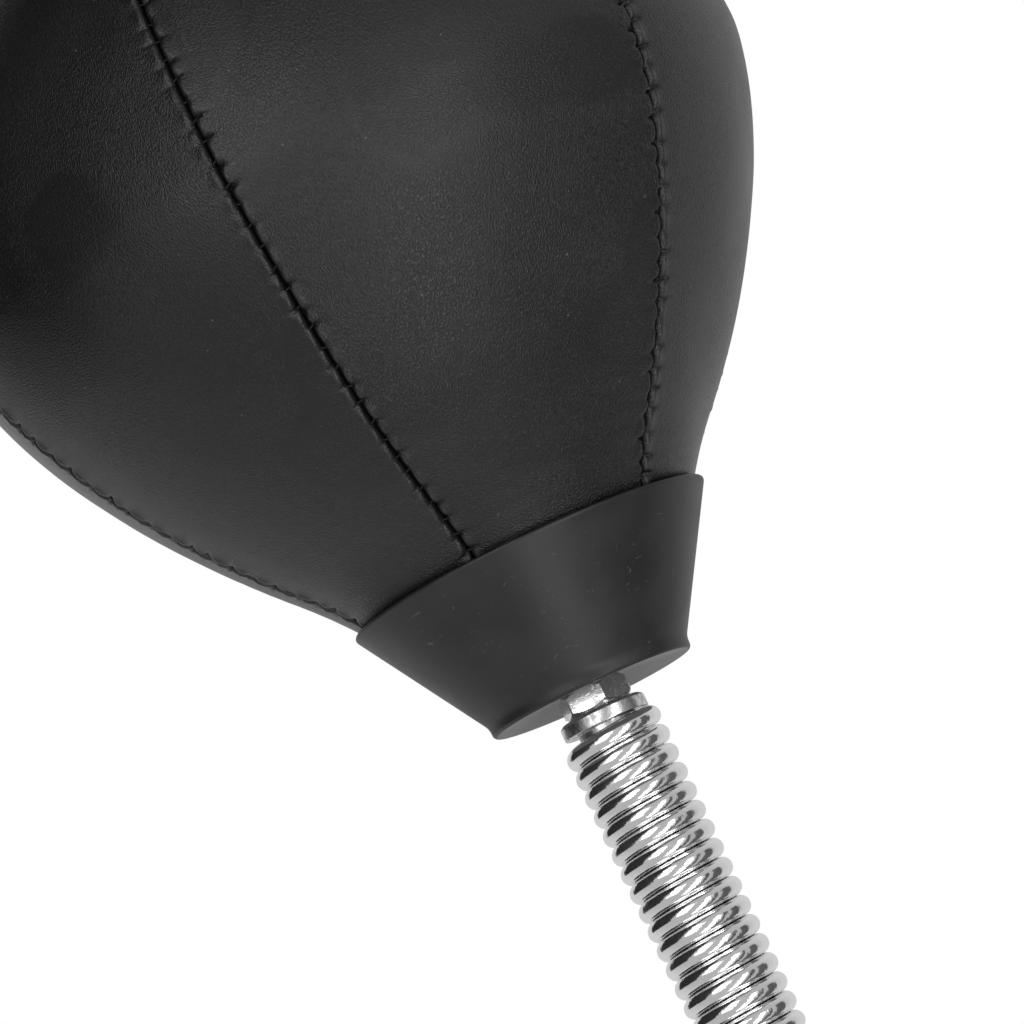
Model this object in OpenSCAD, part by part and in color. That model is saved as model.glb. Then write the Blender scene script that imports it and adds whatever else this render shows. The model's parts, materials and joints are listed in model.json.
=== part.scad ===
// Spring reflex bag: leather ball in a rubber cup on a close-wound coil spring, with an M10 stud below.
// Millimetres, +Z up. The origin is on the stud's axis, in the lower face of its hex collar.

/* [Ball] */
// Largest radius of the leather ball
ball_radius = 104.3; // [80:0.1:130]
// Height of the widest place above the cup's underside
ball_waist_height = 134.3; // [110:0.1:180]
// Height of the crown above the widest place
ball_crown_rise = 106; // [80:0.5:130]
// How full the lower half is, 2 is an ellipse and less is a pear
ball_fullness = 1.485; // [1.3:0.005:2]
// Radius of the ball's lower curve where it goes into the cup
ball_neck = 40.1; // [30:0.1:42]
// Number of leather panels
panel_count = 6; // [4:1:8]
// Angle of the first seam from +X
seam_turn = 16.5; // [0:0.5:60]
// Leather thickness
leather = 2; // [1.5:0.1:3]
// How far the sewn edges are turned in
seam_allowance = 4; // [2:0.5:6]
// Radius of the round patch on the crown
patch_radius = 22; // [16:0.5:30]
// Thickness of the crown patch
patch_thick = 1.6; // [1:0.1:2.5]

/* [Cup] */
// Outer radius of the cup's rim
cup_rim_radius = 46.3; // [36:0.1:56]
// Outer radius of the upright lip at the bottom
cup_lip_radius = 26.2; // [20:0.1:34]
// Height of the upright lip
cup_lip_height = 3; // [2:0.1:5]
// Height of the cup
cup_height = 36.3; // [28:0.1:46]
// Thickness of the cup's floor
cup_floor = 4; // [3:0.1:6]
// Width of the wall at the rim
cup_rim_wall = 2; // [1.5:0.1:4]
// Width of the wall at the floor
cup_foot_wall = 4.6; // [3.4:0.1:6]
// How far the underside is hollowed for the nut
cup_dish = 2.3; // [0.5:0.1:3.5]
// Radius of the flat that the nut seats on, inside the hollow
cup_dish_radius = 12; // [11:0.5:16]

/* [Spring] */
// Outer radius of the coils
spring_radius = 12.8; // [10:0.1:18]
// Wire diameter
wire = 4.94; // [3:0.01:6]
// Gap between touching coils
coil_gap = 0.08; // [0.06:0.01:0.3]
// Turns along the whole spring
spring_turns = 30; // [24:1:48]
// Turns wound onto each plug
plug_turns = 3; // [2:1:4]

/* [Hardware] */
// Radius of the M10 threads
bolt_radius = 5; // [4:0.5:6]
// Across flats of the nut, the collar and the bolt head
hex_flats = 16; // [13:0.5:19]
// Height of the nut
nut_height = 6.5; // [5:0.1:9]
// Radius of the plug flanges
flange_radius = 11; // [9:0.1:13]
// Height of the plug flanges
flange_height = 3.8; // [3:0.1:6]
// Height of the lower stud's hex collar
collar_height = 6; // [4:0.5:10]
// Length of the lower thread that screws into the pole
stud_length = 22; // [15:0.5:35]
// Radius of the retaining plate inside the ball
plate_radius = 19; // [14:0.5:21]
// Thickness of the retaining plate
plate_thick = 2.5; // [2:0.1:4]
// Height of the bolt head
head_height = 6.4; // [5:0.1:8]

/* [Fits] */
// Radial clearance in threaded holes
thread_play = 0.05; // [0.02:0.01:0.1]
// Radial clearance of the bolt in plain holes
hole_play = 0.4; // [0.2:0.05:1]
// Gap between stacked faces
face_gap = 0.05; // [0.02:0.01:0.2]
// Gap between the leather and the cup
cup_play = 0.3; // [0.1:0.05:0.6]
// Half of the angle left open at each seam
seam_half_gap = 0.25; // [0.15:0.05:0.5]

/* [Hidden] */
coil_radius = spring_radius - wire / 2;
pitch = wire / cos(atan(wire / (2 * PI * coil_radius))) + coil_gap;
wire_steps = 20;
wire_sides = 8;
spigot_radius = (coil_radius - wire / 2) * cos(180 / wire_steps) - 0.04;

lower_flange_z = collar_height + face_gap;
lower_tip_z = lower_flange_z + flange_height + wire / 2 + face_gap;
upper_tip_z = lower_tip_z + spring_turns * pitch;
upper_flange_z = upper_tip_z + wire / 2 + face_gap;
nut_z = upper_flange_z + flange_height + face_gap;
cup_z = nut_z + nut_height + face_gap - cup_dish;

section_count = 9;
active_turns = spring_turns - 2 * plug_turns;
section_turns = active_turns / (section_count - 1);
end_section_turns = plug_turns + section_turns / 2;
spigot_length = plug_turns * pitch;
corner_radius = hex_flats / 2 / cos(30);
chamfer_start = hex_flats / 2 * 0.95;

cup_neck = cup_lip_radius + 0.2;
cup_floor_z = cup_dish + cup_floor;
cup_slope = (cup_rim_radius - cup_neck) / (cup_height - cup_lip_height);
cup_inner_foot = cup_neck + (cup_floor_z - cup_lip_height) * cup_slope - cup_foot_wall;
cup_inner_rim = cup_rim_radius - cup_rim_wall;
leather_z = cup_floor_z + cup_play;
leather_foot = cup_inner_foot - cup_play;
leather_rim = cup_inner_rim - cup_play;
leather_hole = bolt_radius + hole_play + 0.5;
plate_z = leather_z + leather + 0.1;
head_z = plate_z + plate_thick + face_gap;
waist_drop = ball_waist_height - cup_height;
pear_depth = waist_drop / pow(1 - pow(ball_neck / ball_radius, ball_fullness), 1 / ball_fullness);
panel_angle = 360 / panel_count;
valve_radius = 5.5;
crown_hole = 7;
bladder_depth = leather + seam_allowance + 0.8;
bladder_skin = 1;
bladder_floor = head_z + head_height + 1.2;

function pear(drop) =
  ball_radius * pow(max(0, 1 - pow(drop / pear_depth, ball_fullness)), 1 / ball_fullness);
rim_bulge = leather_rim - pear(waist_drop);
function lower_radius(h) =
  pear(ball_waist_height - h) + rim_bulge * pow(max(0, 1 - (h - cup_height) / 14), 2);
function crown_point(a, grow) =
  [(ball_radius + grow) * sin(a), ball_waist_height + (ball_crown_rise + grow) * cos(a)];
crown_end = asin(crown_hole / ball_radius);
patch_end = asin(patch_radius / ball_radius);

// Outline of the leather's outer face, from the bolt hole up to the crown.
lower_steps = [0.02, 0.05, 0.09, 0.14, 0.2, 0.27, 0.34, 0.42, 0.5, 0.58, 0.66, 0.74, 0.82, 0.91];
crown_steps = [90, 83, 76, 69, 62, 55, 48, 41, 34, 27, 19, patch_end, crown_end];
outline = concat(
  [[leather_hole, leather_z], [leather_foot, leather_z]],
  [[(leather_foot + leather_rim) / 2, (leather_z + cup_height) / 2], [leather_rim, cup_height]],
  [for (s = lower_steps) let (h = cup_height + s * waist_drop) [lower_radius(h), h]],
  [for (a = crown_steps) crown_point(a, 0)]
);

function unit(v) = v / norm(v);
function left(v) = [-v[1], v[0]];
function side(path, i) = left(unit(path[i + 1] - path[i]));
function corner(path, i) =
  i == 0 ? side(path, 0) :
  i == len(path) - 1 ? side(path, i - 1) :
  (side(path, i - 1) + side(path, i)) / (1 + side(path, i - 1) * side(path, i));
function inward(path, depth) = [for (i = [0 : len(path) - 1]) path[i] + depth * corner(path, i)];
function backward(path) = [for (i = [len(path) - 1 : -1 : 0]) path[i]];
function band(path, near, far) = concat(inward(path, near), backward(inward(path, far)));
function part_of(path, first, last) = [for (i = [first : last]) path[i]];

// Wire of the spring from one turn to another, as rings of points along the helix.
module coil(from, to) {
  count = ceil((to - from) * wire_steps);
  lead = atan(pitch / (2 * PI * coil_radius));
  points = [
    for (i = [0 : count])
      let (turn = from + (to - from) * i / count, a = turn * 360)
        for (k = [0 : wire_sides - 1])
          let (
            b = k * 360 / wire_sides,
            out = coil_radius + wire / 2 * cos(b),
            rise = wire / 2 * sin(b)
          )
          [
            out * cos(a) + rise * sin(lead) * sin(a),
            out * sin(a) - rise * sin(lead) * cos(a),
            lower_tip_z + turn * pitch + rise * cos(lead)
          ]
  ];
  last = count * wire_sides;
  faces = concat(
    [[for (k = [0 : wire_sides - 1]) k]],
    [
      for (i = [0 : count - 1])
        for (k = [0 : wire_sides - 1])
          let (a = i * wire_sides + k, b = i * wire_sides + (k + 1) % wire_sides)
            each [[a, a + wire_sides, b], [b, a + wire_sides, b + wire_sides]]
    ],
    [[for (k = [wire_sides - 1 : -1 : 0]) last + k]]
  );
  polyhedron(points, faces, convexity = 10);
}

function section_start(i) = i == 1 ? 0 : end_section_turns + (i - 2) * section_turns;
function section_end(i) = i == section_count ? spring_turns : end_section_turns + (i - 1) * section_turns;

module spring_section(i) {
  color([0.78, 0.78, 0.8])
    coil(section_start(i), section_end(i));
}

module hex_block(height, chamfer_low, chamfer_high) {
  flare = 1.3;
  intersection() {
    cylinder(h = height, r = corner_radius, $fn = 6);
    union() {
      translate([0, 0, flare])
        cylinder(h = height - 2 * flare, r = corner_radius + 0.5, $fn = 60);
      cylinder(
        h = flare, r1 = chamfer_low ? chamfer_start : corner_radius + 0.5, r2 = corner_radius + 0.5, $fn = 60
      );
      translate([0, 0, height - flare])
        cylinder(
          h = flare, r1 = corner_radius + 0.5, r2 = chamfer_high ? chamfer_start : corner_radius + 0.5, $fn = 60
        );
    }
  }
}

// Plug seen from its flange: the flange's outer face at z = 0 and the spigot along +Z.
module plug() {
  edge = 0.7;
  difference() {
    union() {
      cylinder(h = edge, r1 = flange_radius - edge, r2 = flange_radius, $fn = 72);
      translate([0, 0, edge])
        cylinder(h = flange_height - edge, r = flange_radius, $fn = 72);
      cylinder(h = flange_height + spigot_length - edge, r = spigot_radius, $fn = 72);
      translate([0, 0, flange_height + spigot_length - edge])
        cylinder(h = edge, r1 = spigot_radius, r2 = spigot_radius - edge, $fn = 72);
    }
    translate([0, 0, -1])
      cylinder(h = flange_height + spigot_length + 2, r = bolt_radius + thread_play, $fn = 60);
  }
}

module lower_stud() {
  tip = 1;
  upper = flange_height + spigot_length - 3;
  color([0.7, 0.7, 0.72]) {
    hex_block(collar_height, true, true);
    translate([0, 0, collar_height - 1])
      cylinder(h = upper + 1 - tip, r = bolt_radius, $fn = 60);
    translate([0, 0, collar_height + upper - tip])
      cylinder(h = tip, r1 = bolt_radius, r2 = bolt_radius - tip, $fn = 60);
    translate([0, 0, tip - stud_length])
      cylinder(h = stud_length - tip + 1, r = bolt_radius, $fn = 60);
    translate([0, 0, -stud_length])
      cylinder(h = tip, r1 = bolt_radius - tip, r2 = bolt_radius, $fn = 60);
  }
}

module lower_plug() {
  color([0.62, 0.62, 0.64])
    translate([0, 0, lower_flange_z])
      plug();
}

module upper_plug() {
  color([0.62, 0.62, 0.64])
    translate([0, 0, upper_flange_z + flange_height])
      rotate([180, 0, 0])
        plug();
}

module hex_nut() {
  color([0.74, 0.74, 0.76])
    translate([0, 0, nut_z])
      rotate([0, 0, 43.85])
        difference() {
          hex_block(nut_height, true, true);
          translate([0, 0, -1])
            cylinder(h = nut_height + 2, r = bolt_radius + thread_play, $fn = 60);
        }
}

module ball_bolt() {
  tip = 1;
  reach = flange_height + spigot_length - 3 + nut_height + 2 * face_gap - cup_dish;
  color([0.7, 0.7, 0.72])
    translate([0, 0, cup_z]) {
      translate([0, 0, head_z])
        hex_block(head_height, false, true);
      translate([0, 0, tip - reach])
        cylinder(h = reach - tip + head_z + 1, r = bolt_radius, $fn = 60);
      translate([0, 0, -reach])
        cylinder(h = tip, r1 = bolt_radius - tip, r2 = bolt_radius, $fn = 60);
    }
}

module retaining_plate() {
  color([0.6, 0.6, 0.62])
    translate([0, 0, cup_z + plate_z])
      difference() {
        cylinder(h = plate_thick, r = plate_radius, $fn = 90);
        translate([0, 0, -1])
          cylinder(h = plate_thick + 2, r = bolt_radius + hole_play, $fn = 60);
      }
}

module cup() {
  color([0.13, 0.13, 0.14])
    translate([0, 0, cup_z])
      rotate_extrude($fn = 120)
        polygon([
          [bolt_radius + hole_play, cup_dish],
          [cup_dish_radius, cup_dish],
          [cup_lip_radius - 2, 0],
          [cup_lip_radius - 0.6, 0],
          [cup_lip_radius, 0.6],
          [cup_neck, cup_lip_height],
          [cup_rim_radius - 0.4, cup_height - 1.2],
          [cup_rim_radius, cup_height - 0.5],
          [cup_rim_radius - 0.4, cup_height],
          [cup_inner_rim, cup_height],
          [cup_inner_foot, cup_floor_z],
          [bolt_radius + hole_play, cup_floor_z]
        ]);
}

// One leather gore: a sector of the shell, with both sewn edges turned in.
module panel(i) {
  edge_angle = 1.3;
  rib = part_of(outline, 2, len(outline) - 3);
  color([0.09, 0.09, 0.1])
    translate([0, 0, cup_z])
      rotate([0, 0, seam_turn + (i - 1) * panel_angle + seam_half_gap]) {
        rotate_extrude(angle = panel_angle - 2 * seam_half_gap, $fn = 120)
          polygon(band(outline, 0, leather));
        rotate_extrude(angle = edge_angle, $fn = 120)
          polygon(band(rib, leather / 2, leather + seam_allowance));
        rotate([0, 0, panel_angle - 2 * seam_half_gap - edge_angle])
          rotate_extrude(angle = edge_angle, $fn = 120)
            polygon(band(rib, leather / 2, leather + seam_allowance));
      }
}

module seam_thread(i) {
  line = part_of(outline, 2, len(outline) - 3);
  thread_angle = seam_half_gap * 1.4;
  color([0.05, 0.05, 0.05])
    translate([0, 0, cup_z])
      rotate([0, 0, seam_turn + (i - 1) * panel_angle - thread_angle / 2])
        rotate_extrude(angle = thread_angle, $fn = 120)
          polygon(band(line, leather + 0.6, leather + 1.6));
}

module crown_patch() {
  steps = [patch_end, (patch_end + crown_end) / 2, crown_end];
  color([0.09, 0.09, 0.1])
    translate([0, 0, cup_z])
      rotate_extrude($fn = 120)
        polygon(concat(
          [for (a = steps) crown_point(a, face_gap)],
          backward([for (a = steps) crown_point(a, face_gap + patch_thick)])
        ));
}

bladder_path = concat(
  [[0, bladder_floor], [leather_foot - 1, bladder_floor]],
  part_of(inward(outline, bladder_depth), 3, len(outline) - 1)
);

module bladder() {
  color([0.2, 0.2, 0.2])
    translate([0, 0, cup_z])
      rotate_extrude($fn = 120)
        polygon(band(bladder_path, 0, bladder_skin));
}

module valve() {
  top = ball_waist_height + ball_crown_rise;
  low = top - bladder_depth - bladder_skin - 1.2;
  color([0.12, 0.12, 0.12])
    translate([0, 0, cup_z])
      difference() {
        union() {
          translate([0, 0, low - 1.5])
            cylinder(h = 1.5, r = 12, $fn = 60);
          translate([0, 0, low - 8])
            cylinder(h = top + patch_thick - low + 8, r = valve_radius, $fn = 60);
        }
        translate([0, 0, low - 6])
          cylinder(h = top - low + 12, r = 1, $fn = 30);
      }
}

lower_stud();
lower_plug();
upper_plug();
hex_nut();
cup();
ball_bolt();
retaining_plate();
spring_section(1);  // spring_coils_1
spring_section(2);  // spring_coils_2
spring_section(3);  // spring_coils_3
spring_section(4);  // spring_coils_4
spring_section(5);  // spring_coils_5
spring_section(6);  // spring_coils_6
spring_section(7);  // spring_coils_7
spring_section(8);  // spring_coils_8
spring_section(9);  // spring_coils_9
panel(1);  // panel_1
panel(2);  // panel_2
panel(3);  // panel_3
panel(4);  // panel_4
panel(5);  // panel_5
panel(6);  // panel_6
seam_thread(1);  // seam_thread_1
seam_thread(2);  // seam_thread_2
seam_thread(3);  // seam_thread_3
seam_thread(4);  // seam_thread_4
seam_thread(5);  // seam_thread_5
seam_thread(6);  // seam_thread_6
crown_patch();
bladder();
valve();
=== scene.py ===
import json
import math

import bmesh
import bpy
import numpy as np
from mathutils import Matrix, Vector, noise


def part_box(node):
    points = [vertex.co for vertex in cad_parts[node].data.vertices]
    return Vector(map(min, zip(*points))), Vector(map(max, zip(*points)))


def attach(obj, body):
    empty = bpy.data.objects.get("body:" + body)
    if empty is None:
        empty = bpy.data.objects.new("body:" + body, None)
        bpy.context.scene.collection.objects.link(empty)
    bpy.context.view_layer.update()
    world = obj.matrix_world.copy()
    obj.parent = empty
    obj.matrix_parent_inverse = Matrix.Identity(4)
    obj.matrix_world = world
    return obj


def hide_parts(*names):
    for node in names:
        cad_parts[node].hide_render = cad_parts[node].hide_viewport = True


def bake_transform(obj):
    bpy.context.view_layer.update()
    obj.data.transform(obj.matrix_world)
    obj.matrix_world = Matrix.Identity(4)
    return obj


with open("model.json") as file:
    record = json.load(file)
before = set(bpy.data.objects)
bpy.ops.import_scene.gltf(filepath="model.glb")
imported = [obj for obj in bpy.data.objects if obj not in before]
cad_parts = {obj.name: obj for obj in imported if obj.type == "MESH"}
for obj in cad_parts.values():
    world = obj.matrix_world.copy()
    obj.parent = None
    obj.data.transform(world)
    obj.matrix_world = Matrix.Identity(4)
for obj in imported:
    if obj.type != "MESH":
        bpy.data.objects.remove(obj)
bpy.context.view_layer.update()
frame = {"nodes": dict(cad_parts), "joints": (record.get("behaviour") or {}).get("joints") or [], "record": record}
print("frame loaded:", len(frame["nodes"]), "nodes")

mm = 0.001
fullTurn = 2 * math.pi
mergeGap = 1e-7
cupLow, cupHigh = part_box("cup")
nutLow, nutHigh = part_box("hex_nut")
studLow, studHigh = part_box("lower_stud")
valveLow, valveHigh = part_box("valve")
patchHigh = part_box("crown_patch")[1]
springLow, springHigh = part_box("spring_coils_1")[0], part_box("spring_coils_9")[1]
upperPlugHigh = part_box("upper_plug")[1]
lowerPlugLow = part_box("lower_plug")[0]
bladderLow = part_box("bladder")[0]


class Channel:
    # one value on its way through a material; sums on it add Math nodes
    def __init__(self, board, socket):
        self.board = board
        self.socket = socket

    def math(self, operation, first, second, clamp=False):
        settings = {"operation": operation, "use_clamp": clamp}
        return self.board.add("ShaderNodeMath", settings, {0: first, 1: second})["Value"]

    def __add__(self, other):
        return self.math("ADD", self, other)

    def __sub__(self, other):
        return self.math("SUBTRACT", self, other)

    def __rsub__(self, other):
        return self.math("SUBTRACT", other, self)

    def __mul__(self, other):
        return self.math("MULTIPLY", self, other)

    __radd__ = __add__
    __rmul__ = __mul__

    def clamped(self):
        return self.math("ADD", self, 0.0, clamp=True)

    def between(self, low, high):
        settings = {"interpolation_type": "SMOOTHSTEP"}
        sockets = {"Value": self, "From Min": low, "From Max": high}
        return self.board.add("ShaderNodeMapRange", settings, sockets)["Result"]


class Outputs:
    def __init__(self, board, node):
        self.board = board
        self.node = node

    def __getitem__(self, name):
        return Channel(self.board, self.node.outputs[name])


class Board:
    # a node tree; every node comes from add, its settings first and then its sockets
    def __init__(self, tree):
        self.tree = tree

    def add(self, kind, settings=None, sockets=None):
        node = self.tree.nodes.new(kind)
        for key, value in (settings or {}).items():
            setattr(node, key, value)
        for key, value in (sockets or {}).items():
            self.feed(node.inputs[key], value)
        return Outputs(self, node)

    def feed(self, socket, value):
        if isinstance(value, Channel):
            self.tree.links.new(value.socket, socket)
        else:
            socket.default_value = value


class Finish(Board):
    # a material with one Principled shader, whose constants are set on its own sockets
    def __init__(self, name, **constants):
        self.material = bpy.data.materials.new(name)
        self.material.use_nodes = True
        super().__init__(self.material.node_tree)
        self.shader = self.tree.nodes["Principled BSDF"]
        self.drive(**constants)

    def drive(self, **values):
        for name, value in values.items():
            self.feed(self.shader.inputs[name.replace("_", " ")], value)
        return self.material

    def place(self, scale=(1, 1, 1), turn=(0, 0, 0), uv=None):
        # object coordinates, or the piece's own map, stretched and turned
        if uv:
            source = self.add("ShaderNodeUVMap", {"uv_map": uv})["UV"]
        else:
            source = self.add("ShaderNodeTexCoord")["Object"]
        return self.stretched(source, scale, turn)

    def stretched(self, vector, scale, turn=(0, 0, 0)):
        sockets = {"Vector": vector, "Scale": scale, "Rotation": turn}
        return self.add("ShaderNodeMapping", {}, sockets)["Vector"]

    def cloud(self, vector, scale, detail=2.0, roughness=0.5, distortion=0.0):
        sockets = {
            "Vector": vector, "Scale": scale, "Detail": detail,
            "Roughness": roughness, "Distortion": distortion,
        }
        return self.add("ShaderNodeTexNoise", {}, sockets)["Fac"]

    def mix(self, amount, first, second):
        # a colour mix has its factor at 0, its two colours at 6 and 7, and its result at 2
        sockets = {0: amount, 6: first, 7: second}
        return self.add("ShaderNodeMix", {"data_type": "RGBA"}, sockets)[2]

    def vector(self, operation, *parts):
        sockets = dict(enumerate(parts))
        return self.add("ShaderNodeVectorMath", {"operation": operation}, sockets)["Vector"]

    def bump(self, height, distance, strength=1.0, under=None):
        sockets = {"Height": height, "Distance": distance, "Strength": strength}
        if under is not None:
            sockets["Normal"] = under
        return self.add("ShaderNodeBump", {}, sockets)["Normal"]


def shaded(tone, factor):
    return tuple(part * factor for part in tone[:3]) + (1,)


leatherMap = "leatherMap"
seamSheenLayer = "seamSheen"
leatherLook = {
    "dark": (0.0045, 0.0045, 0.0048, 1),
    "worn": (0.009, 0.009, 0.0094, 1),
    "dust": (0.16, 0.16, 0.16, 1),
    "rubbed": (0.045, 0.045, 0.046, 1),  # painted highlight: the paler bead on the puffed seam crests between stitches
    "roughness": 0.35,
    "grainAcross": 0.36 * mm,
    "grainAlong": 0.78 * mm,
    "grainDepth": 0.108 * mm,
    "poreSize": 0.42 * mm,
    "poreShare": 0.22,
    "drift": (7 * mm, 7 * mm, 0),  # how far the grain wanders over the hide
    "driftScale": 24.0,
    "turnScale": 21.0,  # of the areas where the grain turns to lie level
    "levelTurn": (0, 0, 0.35),
    "patchScale": 15.0,  # of the smoother and the more creased areas
    "foldScale": 60.0,
    "foldDepth": 0.5 * mm,
    "foldStrength": 0.14,
    "speckScale": 900.0,
}


def makeLeather():
    look = leatherLook
    finish = Finish("blackLeather", Roughness=look["roughness"], Specular_IOR_Level=0.5)
    flat = finish.place(uv=leatherMap)
    driftNoise = {"Vector": flat, "Scale": look["driftScale"], "Detail": 1.0}
    drift = finish.add("ShaderNodeTexNoise", {}, driftNoise)["Color"]
    centred = finish.vector("SUBTRACT", drift, (0.5, 0.5, 0.5))
    swayed = finish.vector("MULTIPLY_ADD", centred, look["drift"], flat)
    across, along = 1 / look["grainAcross"], 1 / look["grainAlong"]
    upright = finish.stretched(swayed, (across, along, 1))
    level = finish.stretched(swayed, (along * 1.1, across, 1), look["levelTurn"])
    turning = finish.cloud(flat, look["turnScale"], detail=1.0).between(0.50, 0.60)
    uprightGrain, levelGrain = (
        finish.cloud(way, 1.0, 1.5, 0.4, 0.35).between(0.30, 0.62) for way in (upright, level)
    )
    grain = uprightGrain * (1 - turning) + levelGrain * turning
    pores = finish.cloud(flat, 1 / look["poreSize"], 2.0, 0.55)
    patches = finish.cloud(flat, look["patchScale"], detail=2.0)
    creased = patches.between(0.38, 0.60) * 0.35 + 0.65
    folds = finish.cloud(flat, look["foldScale"], detail=2.0)
    folded = finish.bump(folds, look["foldDepth"], look["foldStrength"])
    height = grain * creased + pores * look["poreShare"]
    normal = finish.bump(height, look["grainDepth"], under=folded)
    specks = finish.cloud(flat, look["speckScale"], detail=0.0).between(0.865, 0.89)
    tone = finish.mix(patches.between(0.3, 0.7), look["dark"], look["worn"])
    # painted highlight: the puffed crests beside each seam are painted paler between the stitches, from the mesh's
    # own layer
    crestSheen = finish.add("ShaderNodeAttribute", {"attribute_name": seamSheenLayer})["Fac"]
    crestSheen = crestSheen * pores.between(0.3, 0.6)
    tone = finish.mix(crestSheen, tone, look["rubbed"])
    tone = finish.mix(specks * 0.6, tone, look["dust"])
    uneven = (patches - 0.5) * 0.12 + (pores - 0.5) * 0.1 - crestSheen * 0.06
    return finish.drive(Base_Color=tone, Roughness=look["roughness"] + uneven, Normal=normal)


rubberLook = {
    "tone": (0.013, 0.013, 0.0133, 1),
    "bloom": (0.022, 0.022, 0.0223, 1),
    "scuff": (0.11, 0.11, 0.11, 1),
    "under": (0.12, 0.12, 0.12, 1),  # painted light: the flat underside is painted pale for the white floor it faces
    "underRadius": 25.4 * mm,
    "underHeight": 3.0 * mm,
    "underFade": 0.2 * mm,
    "roughness": 0.46,
}


def makeCupRubber():
    look = rubberLook
    finish = Finish("cupRubber", Roughness=look["roughness"], Specular_IOR_Level=0.45)
    place = finish.place()
    bloom = finish.cloud(place, 42.0, 3.0, 0.55).between(0.35, 0.7)
    specks = finish.cloud(place, 760.0, 2.0, 0.7, 1.5).between(0.69, 0.74)
    bent = finish.place((230, 230, 480), (0.5, 0.35, 0))
    streaks = finish.cloud(bent, 1.0, 2.0, 0.6, 1.4).between(0.67, 0.71)
    gate = finish.cloud(place, 150.0, 0.0).between(0.58, 0.66)
    marks = (specks * 0.5 + streaks * gate * 0.6).clamped()
    flat = finish.vector("MULTIPLY", place, (1, 1, 0))
    reach = finish.add("ShaderNodeVectorMath", {"operation": "LENGTH"}, {0: flat})["Value"]
    rise = finish.add("ShaderNodeSeparateXYZ", {}, {"Vector": place})["Z"]
    # painted light: a pale disc on the flat underside, inside the lip
    fade, top = look["underFade"], cupLow.z + look["underHeight"]
    under = reach.between(look["underRadius"] + fade, look["underRadius"] - fade)
    under = under * rise.between(top + fade, top - fade)
    tone = finish.mix(bloom, look["tone"], look["bloom"])
    tone = finish.mix(under, tone, look["under"])
    tone = finish.mix(marks, tone, look["scuff"])
    dull = look["roughness"] + (bloom - 0.5) * 0.10 + marks * 0.2
    waved = finish.bump(finish.cloud(place, 60.0, 1.0), 0.5 * mm, 0.25)
    skin = finish.bump(finish.cloud(place, 1400.0), 0.03 * mm, 0.6, under=waved)
    return finish.drive(Base_Color=tone, Roughness=dull, Normal=skin)


def makeChrome():
    finish = Finish("springChrome", Metallic=1.0, Base_Color=(0.93, 0.93, 0.935, 1))
    place = finish.place()
    haze = finish.cloud(place, 160.0, 3.0, 0.6).between(0.45, 0.85)
    streaks = finish.cloud(finish.place((700, 700, 160), (0.5, 0.4, 0)), 1.0)
    drawn = finish.bump(streaks, 0.10 * mm, 0.7)
    ripple = finish.bump(finish.cloud(place, 330.0, 1.0), 0.06 * mm, 0.6, under=drawn)
    return finish.drive(Roughness=0.13 + haze * 0.12, Normal=ripple)


def makeZinc(name, tone, roughness, fineness):
    # bright zinc plate, with fine scratches two ways and a grainy skin
    finish = Finish(name, Metallic=1.0)
    place = finish.place()
    grain = finish.cloud(place, 900.0, 3.0, 0.6)
    oneWay = finish.place((fineness, fineness * 0.06, fineness * 0.5), (0, 0.5, 0))
    otherWay = finish.place((fineness * 0.08, fineness, fineness), (0.4, -0.6, 0.2))
    scratches = finish.cloud(oneWay, 1.0).between(0.56, 0.66)
    scratches = (scratches + finish.cloud(otherWay, 1.0).between(0.58, 0.68)).clamped()
    mottle = finish.cloud(place, 520.0, 4.0, 0.7)
    dulled = scratches * 0.5 + mottle.between(0.5, 0.75) * 0.35
    dull = roughness + scratches * 0.16 + (mottle - 0.5) * 0.15
    scratched = finish.bump(scratches + mottle * 0.3, 0.016 * mm, 0.8)
    skin = finish.bump(grain, 0.008 * mm, 0.8, under=scratched)
    tone = finish.mix(dulled, tone, shaded(tone, 0.55))
    return finish.drive(Base_Color=tone, Roughness=dull, Normal=skin)


def makeTurnedSteel():
    # the plug's face is turned and then plated, so it is mottled round its edge
    finish = Finish("plugSteel", Metallic=1.0)
    mottle = finish.cloud(finish.place((1, 1, 0.6)), 420.0, 4.0, 0.65, 0.4)
    rings = finish.cloud(finish.place((0, 0, 1)), 5200.0, 1.0)
    tone = finish.mix(mottle.between(0.42, 0.62), (0.80, 0.80, 0.81, 1), (0.45, 0.45, 0.46, 1))
    dull = 0.22 + mottle.between(0.4, 0.7) * 0.25
    ringed = finish.bump(rings, 0.02 * mm, 0.5)
    skin = finish.bump(mottle, 0.10 * mm, 0.8, under=ringed)
    return finish.drive(Base_Color=tone, Roughness=dull, Normal=skin)


def makeThread():
    finish = Finish("waxedThread", Specular_IOR_Level=0.25)
    twist = finish.cloud(finish.place(), 3800.0, 1.0)
    tone = finish.mix(twist, (0.003, 0.003, 0.003, 1), (0.012, 0.012, 0.012, 1))
    skin = finish.bump(twist, 0.08 * mm, 0.8)
    return finish.drive(Base_Color=tone, Roughness=0.5 + twist * 0.2, Normal=skin)


def makePlainRubber(name, tone, roughness):
    finish = Finish(name, Specular_IOR_Level=0.4)
    place = finish.place()
    cloudy = finish.cloud(place, 90.0, 3.0)
    tone = finish.mix(cloudy.between(0.35, 0.7), tone, shaded(tone, 1.7))
    skin = finish.bump(finish.cloud(place, 1500.0), 0.03 * mm, 0.6)
    return finish.drive(Base_Color=tone, Roughness=roughness + (cloudy - 0.5) * 0.15, Normal=skin)


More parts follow.
